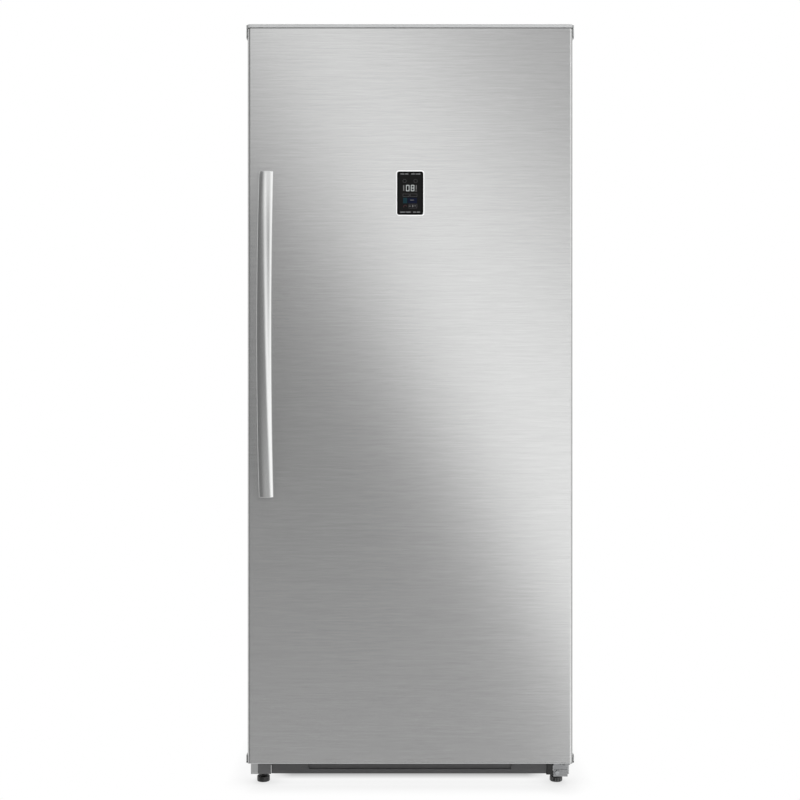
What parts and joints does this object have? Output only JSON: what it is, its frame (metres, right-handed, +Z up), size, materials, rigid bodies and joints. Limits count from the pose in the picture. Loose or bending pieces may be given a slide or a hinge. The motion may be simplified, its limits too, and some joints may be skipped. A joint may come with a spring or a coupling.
{
  "type": "upright freezer",
  "caption": "Full-height upright frost-free freezer with a single brushed steel door, arched bar handle, small black control panel, kick rail and levelling feet.",
  "frame": {"origin": "on the floor under the middle of the whole outline, handle included", "axes": "+X to the viewer's right as they face the door, +Y from the door to the back, +Z up"},
  "size_m": [0.822, 0.802, 1.94],
  "materials": {
    "stainless_steel": "fine horizontal brush, clear lacquer",
    "cabinet_paint": "textured light grey powder coat",
    "zinc_steel": "zinc-plated sheet",
    "fastener_steel": "zinc-plated",
    "dark_paint": "satin dark grey",
    "compressor_paint": "satin black",
    "grey_plastic": "fine moulded texture",
    "black_plastic": "fine moulded texture",
    "acetal": "smooth",
    "white_liner": "semi-gloss thermoformed sheet",
    "clear_plastic": "translucent moulded",
    "trim_plastic": "semi-gloss",
    "shelf_glass": "tempered float glass",
    "lamp_diffuser": "opal",
    "panel_glass": "black back-printed glass",
    "bezel_chrome": "bright satin",
    "board": "circuit board",
    "insulation": "foamed in place",
    "gasket_rubber": "soft extrusion with a magnet strip",
    "grommet_rubber": "soft moulded",
    "copper": "drawn tube",
    "steel_tube": "coated steel tube",
    "coil_aluminium": "rolled fins and tube"
  },
  "bodies": {
    "cabinet": {"side_panel_left": "cabinet_paint", "side_panel_right": "cabinet_paint", "top_panel": "cabinet_paint", "bottom_pan": "zinc_steel", "back_panel": "zinc_steel", "cabinet_foam": "insulation", "inner_liner": "white_liner", "duct_cover": "white_liner", "evaporator": "coil_aluminium", "defrost_heater": "coil_aluminium", "drain_trough": "white_liner", "fan_motor": "black_plastic", "led_lamp": "lamp_diffuser", "glass_shelf_1": "shelf_glass", "glass_shelf_2": "shelf_glass", "glass_shelf_3": "shelf_glass", "glass_shelf_4": "shelf_glass", "shelf_trims": "trim_plastic", "condenser_tubes": "steel_tube", "compressor": "compressor_paint", "compressor_grommets": "grommet_rubber", "terminal_cover": "black_plastic", "refrigerant_pipes": "copper", "drain_pan": "black_plastic", "base_plate": "zinc_steel", "rear_cover": "zinc_steel", "cover_screws": "fastener_steel", "cord_gland": "black_plastic", "kick_rail": "dark_paint", "rail_end_block": "black_plastic", "foot_brackets": "zinc_steel", "top_hinge_plate": "zinc_steel", "hinge_cover": "grey_plastic", "bottom_hinge_bracket": "zinc_steel", "hex_bolts": "fastener_steel"},
    "door": {"door_skin": "stainless_steel", "door_top_cap": "grey_plastic", "door_bottom_cap": "grey_plastic", "door_foam": "insulation", "door_liner": "white_liner", "door_gasket": "gasket_rubber", "handle_bar": "stainless_steel", "handle_mounts": "black_plastic", "hinge_bushes": "acetal", "panel_bezel": "bezel_chrome", "panel_lens": "panel_glass", "display_housing": "black_plastic", "display_board": "board"},
    "lower_drawer": {"lower_drawer": "clear_plastic"},
    "upper_drawer": {"upper_drawer": "clear_plastic"},
    "bin_1": {"door_bin_1": "clear_plastic"},
    "bin_2": {"door_bin_2": "clear_plastic"},
    "bin_3": {"door_bin_3": "clear_plastic"},
    "bin_4": {"door_bin_4": "clear_plastic"},
    "bin_5": {"door_bin_5": "clear_plastic"},
    "fan": {"evaporator_fan": "black_plastic"},
    "roller_left": {"roller_left": "black_plastic"},
    "roller_right": {"roller_right": "black_plastic"},
    "foot_left": {"foot_left": "black_plastic"},
    "foot_right": {"foot_right": "black_plastic"}
  },
  "joints": [
    {"name": "door_hinge", "type": "hinge", "parent": "cabinet", "child": "door", "pos_m": [0.392, -0.309, 1], "axis": [0, 0, 1], "range_deg": [0, 130]},
    {"name": "lower_drawer_slide", "type": "slide", "parent": "cabinet", "child": "lower_drawer", "axis": [0, -1, 0], "range_m": [0, 0.28]},
    {"name": "upper_drawer_slide", "type": "slide", "parent": "cabinet", "child": "upper_drawer", "axis": [0, -1, 0], "range_m": [0, 0.28]},
    {"name": "bin_1_lift", "type": "slide", "parent": "door", "child": "bin_1", "axis": [0, 0, 1], "range_m": [0, 0.03]},
    {"name": "bin_2_lift", "type": "slide", "parent": "door", "child": "bin_2", "axis": [0, 0, 1], "range_m": [0, 0.03]},
    {"name": "bin_3_lift", "type": "slide", "parent": "door", "child": "bin_3", "axis": [0, 0, 1], "range_m": [0, 0.03]},
    {"name": "bin_4_lift", "type": "slide", "parent": "door", "child": "bin_4", "axis": [0, 0, 1], "range_m": [0, 0.03]},
    {"name": "bin_5_lift", "type": "slide", "parent": "door", "child": "bin_5", "axis": [0, 0, 1], "range_m": [0, 0.03]},
    {"name": "fan_spin", "type": "hinge", "parent": "cabinet", "child": "fan", "pos_m": [0, 0.282, 0.7], "axis": [0, 1, 0], "continuous": true},
    {"name": "roller_left_spin", "type": "hinge", "parent": "cabinet", "child": "roller_left", "pos_m": [-0.35, 0.33, 0.017], "axis": [1, 0, 0], "continuous": true},
    {"name": "foot_left_turn", "type": "hinge", "parent": "cabinet", "child": "foot_left", "pos_m": [-0.38, -0.222, 0.01], "axis": [0, 0, 1], "continuous": true},
    {"name": "roller_right_spin", "type": "hinge", "parent": "cabinet", "child": "roller_right", "pos_m": [0.35, 0.33, 0.017], "axis": [1, 0, 0], "continuous": true},
    {"name": "foot_right_turn", "type": "hinge", "parent": "cabinet", "child": "foot_right", "pos_m": [0.38, -0.222, 0.01], "axis": [0, 0, 1], "continuous": true}
  ],
  "couplings": [
    {"joint": "lower_drawer_slide", "follows": "door_hinge", "m_per_rad": 0.12},
    {"joint": "upper_drawer_slide", "follows": "door_hinge", "m_per_rad": 0.12}
  ]
}
